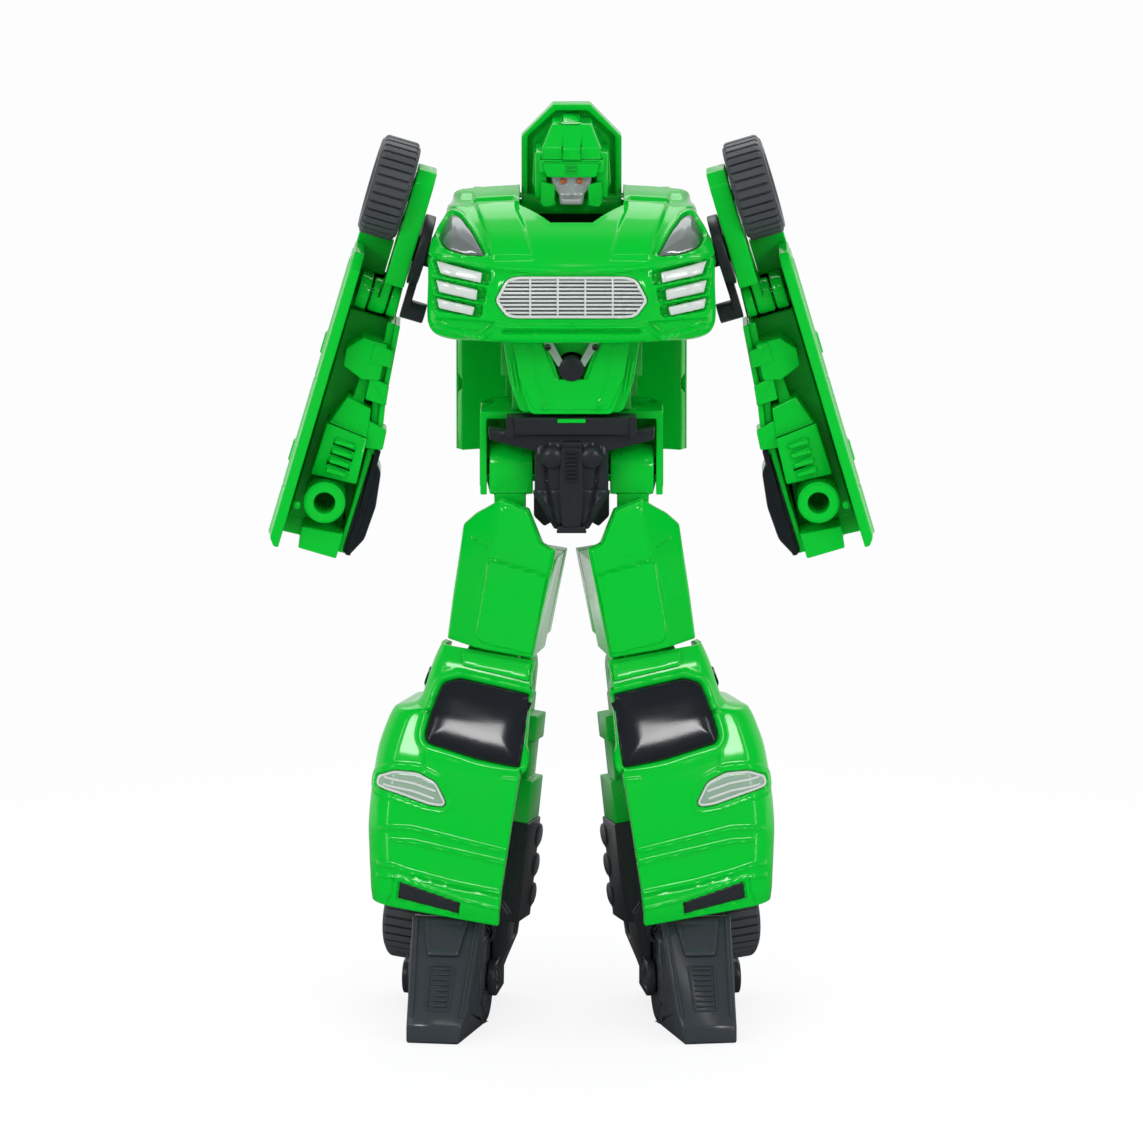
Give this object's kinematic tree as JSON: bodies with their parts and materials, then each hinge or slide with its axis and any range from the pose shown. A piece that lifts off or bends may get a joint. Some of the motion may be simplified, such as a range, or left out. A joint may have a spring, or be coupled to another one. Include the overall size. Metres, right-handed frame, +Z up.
{
  "type": "transforming robot car",
  "caption": "Standing toy robot that folds from a car: bonnet chest, wheels on the shoulders, car rear corners as shins, jointed arms, legs, waist and head.",
  "frame": {"origin": "on the floor under the middle of the standing robot's box", "axes": "+Z up, -Y the way the robot faces, +X the robot's left"},
  "size_m": [0.1372, 0.0633, 0.2095],
  "materials": {
    "green_plastic": "glossy moulded ABS",
    "black_plastic": "satin moulded ABS",
    "window_black": "glossy moulded ABS",
    "silver_paint": "silver paint on plastic",
    "lamp_grey": "grey painted lamp",
    "pin_steel": "plated steel",
    "tyre_black": "ribbed moulded plastic"
  },
  "bodies": {
    "pelvis": {"pelvis_core": "black_plastic", "pelvis_skirt": "green_plastic", "waist_post": "black_plastic", "hip_pins": "pin_steel"},
    "torso": {"torso_frame": "green_plastic", "bonnet_shell": "green_plastic", "grille": "silver_paint", "headlamp_lenses": "lamp_grey", "fog_lamps": "silver_paint", "abdomen_cover": "green_plastic", "torso_back_cover": "green_plastic", "torso_screws": "pin_steel", "shoulder_pins": "pin_steel", "hinge_pins": "pin_steel"},
    "belly_button": {"belly_button": "black_plastic"},
    "head": {"head_plate": "green_plastic", "helmet": "green_plastic", "face": "silver_paint"},
    "roof": {"roof_panel": "green_plastic", "windscreen": "window_black"},
    "left_shoulder": {"left_shoulder_link": "black_plastic"},
    "left_upper_arm": {"left_arm_bracket": "green_plastic"},
    "left_forearm": {"left_forearm": "green_plastic", "left_side_window": "window_black", "left_elbow_pin": "pin_steel"},
    "left_front_wheel": {"left_front_tyre": "tyre_black", "left_front_hub": "black_plastic"},
    "right_shoulder": {"right_shoulder_link": "black_plastic"},
    "right_upper_arm": {"right_arm_bracket": "green_plastic"},
    "right_forearm": {"right_forearm": "green_plastic", "right_side_window": "window_black", "right_elbow_pin": "pin_steel"},
    "right_front_wheel": {"right_front_tyre": "tyre_black", "right_front_hub": "black_plastic"},
    "left_hip": {"left_hip_block": "green_plastic"},
    "left_hip_link": {"left_hip_link": "black_plastic"},
    "left_thigh": {"left_thigh_front": "green_plastic", "left_thigh_back": "green_plastic"},
    "left_shin": {"left_knee_pin": "pin_steel", "left_shin_shell": "green_plastic", "left_rear_window": "window_black", "left_tail_lamp": "lamp_grey", "left_shin_frame": "green_plastic", "left_ankle_frame": "black_plastic"},
    "left_rear_wheel": {"left_rear_tyre": "tyre_black", "left_rear_hub": "black_plastic"},
    "left_toe": {"left_toe": "black_plastic"},
    "right_hip": {"right_hip_block": "green_plastic"},
    "right_hip_link": {"right_hip_link": "black_plastic"},
    "right_thigh": {"right_thigh_front": "green_plastic", "right_thigh_back": "green_plastic"},
    "right_shin": {"right_knee_pin": "pin_steel", "right_shin_shell": "green_plastic", "right_rear_window": "window_black", "right_tail_lamp": "lamp_grey", "right_shin_frame": "green_plastic", "right_ankle_frame": "black_plastic"},
    "right_rear_wheel": {"right_rear_tyre": "tyre_black", "right_rear_hub": "black_plastic"},
    "right_toe": {"right_toe": "black_plastic"}
  },
  "joints": [
    {"name": "waist_swivel", "type": "hinge", "parent": "pelvis", "child": "torso", "pos_m": [0, 0.0049, 0.14118], "axis": [0, 0, 1], "range_deg": [-180, 180]},
    {"name": "head_flip", "type": "hinge", "parent": "torso", "child": "head", "pos_m": [0, 0.0129, 0.18648], "axis": [1, 0, 0], "range_deg": [0, 90]},
    {"name": "roof_fold", "type": "hinge", "parent": "torso", "child": "roof", "pos_m": [0, 0.0185, 0.18698], "axis": [1, 0, 0], "range_deg": [0, 90]},
    {"name": "belly_button_press", "type": "slide", "parent": "torso", "child": "belly_button", "axis": [0, 1, 0], "range_m": [0, 0.0012], "stiffness_N_per_m": 400},
    {"name": "left_shoulder_splay", "type": "hinge", "parent": "torso", "child": "left_shoulder", "pos_m": [0.03, 0.0049, 0.17598], "axis": [0, -1, 0], "range_deg": [-16.5, 2]},
    {"name": "left_shoulder_swing", "type": "hinge", "parent": "left_shoulder", "child": "left_upper_arm", "pos_m": [0.03, 0.0049, 0.17598], "axis": [0.9588, 0, 0.284], "range_deg": [-70, 95]},
    {"name": "left_elbow", "type": "hinge", "parent": "left_upper_arm", "child": "left_forearm", "pos_m": [0.04386, 0.0059, 0.16652], "axis": [-0.9588, 0, -0.284], "range_deg": [0, 90]},
    {"name": "left_front_wheel_spin", "type": "hinge", "parent": "left_upper_arm", "child": "left_front_wheel", "pos_m": [0.04135, 0.0049, 0.19154], "axis": [0.9588, 0, 0.284], "continuous": true},
    {"name": "right_shoulder_splay", "type": "hinge", "parent": "torso", "child": "right_shoulder", "pos_m": [-0.03, 0.0049, 0.17598], "axis": [0, 1, 0], "range_deg": [-16.5, 2]},
    {"name": "right_shoulder_swing", "type": "hinge", "parent": "right_shoulder", "child": "right_upper_arm", "pos_m": [-0.03, 0.0049, 0.17598], "axis": [0.9588, 0, -0.284], "range_deg": [-70, 95]},
    {"name": "right_elbow", "type": "hinge", "parent": "right_upper_arm", "child": "right_forearm", "pos_m": [-0.04386, 0.0059, 0.16652], "axis": [-0.9588, 0, 0.284], "range_deg": [0, 90]},
    {"name": "right_front_wheel_spin", "type": "hinge", "parent": "right_upper_arm", "child": "right_front_wheel", "pos_m": [-0.04135, 0.0049, 0.19154], "axis": [0.9588, 0, -0.284], "continuous": true},
    {"name": "left_hip_swing", "type": "hinge", "parent": "pelvis", "child": "left_hip", "pos_m": [0.014, 0.0049, 0.12698], "axis": [-1, 0, 0], "range_deg": [-30, 50]},
    {"name": "left_hip_splay", "type": "hinge", "parent": "left_hip", "child": "left_hip_link", "pos_m": [0.014, 0.0049, 0.11298], "axis": [0, 1, 0], "range_deg": [-12, 6]},
    {"name": "left_thigh_twist", "type": "hinge", "parent": "left_hip_link", "child": "left_thigh", "pos_m": [0.014, 0.0049, 0.11298], "axis": [0.1045, 0, -0.9945], "range_deg": [-8, 17]},
    {"name": "left_knee", "type": "hinge", "parent": "left_thigh", "child": "left_shin", "pos_m": [0.01716, 0.00586, 0.08013], "axis": [0.9511, 0.2924, 0.1], "range_deg": [0, 90]},
    {"name": "left_rear_wheel_spin", "type": "hinge", "parent": "left_shin", "child": "left_rear_wheel", "pos_m": [0.03625, 0.01914, 0.01969], "axis": [0.9511, 0.2924, 0.1], "continuous": true},
    {"name": "left_toe_flip", "type": "hinge", "parent": "left_shin", "child": "left_toe", "pos_m": [0.02767, -0.00698, 0.01], "axis": [0.9903, 0.1392, 0], "range_deg": [-8, 35]},
    {"name": "right_hip_swing", "type": "hinge", "parent": "pelvis", "child": "right_hip", "pos_m": [-0.014, 0.0049, 0.12698], "axis": [-1, 0, 0], "range_deg": [-30, 50]},
    {"name": "right_hip_splay", "type": "hinge", "parent": "right_hip", "child": "right_hip_link", "pos_m": [-0.014, 0.0049, 0.11298], "axis": [0, -1, 0], "range_deg": [-12, 6]},
    {"name": "right_thigh_twist", "type": "hinge", "parent": "right_hip_link", "child": "right_thigh", "pos_m": [-0.014, 0.0049, 0.11298], "axis": [0.1045, 0, 0.9945], "range_deg": [-8, 17]},
    {"name": "right_knee", "type": "hinge", "parent": "right_thigh", "child": "right_shin", "pos_m": [-0.01716, 0.00586, 0.08013], "axis": [0.9511, -0.2924, -0.1], "range_deg": [0, 90]},
    {"name": "right_rear_wheel_spin", "type": "hinge", "parent": "right_shin", "child": "right_rear_wheel", "pos_m": [-0.03625, 0.01914, 0.01969], "axis": [0.9511, -0.2924, -0.1], "continuous": true},
    {"name": "right_toe_flip", "type": "hinge", "parent": "right_shin", "child": "right_toe", "pos_m": [-0.02767, -0.00698, 0.01], "axis": [0.9903, -0.1392, 0], "range_deg": [-8, 35]}
  ]
}
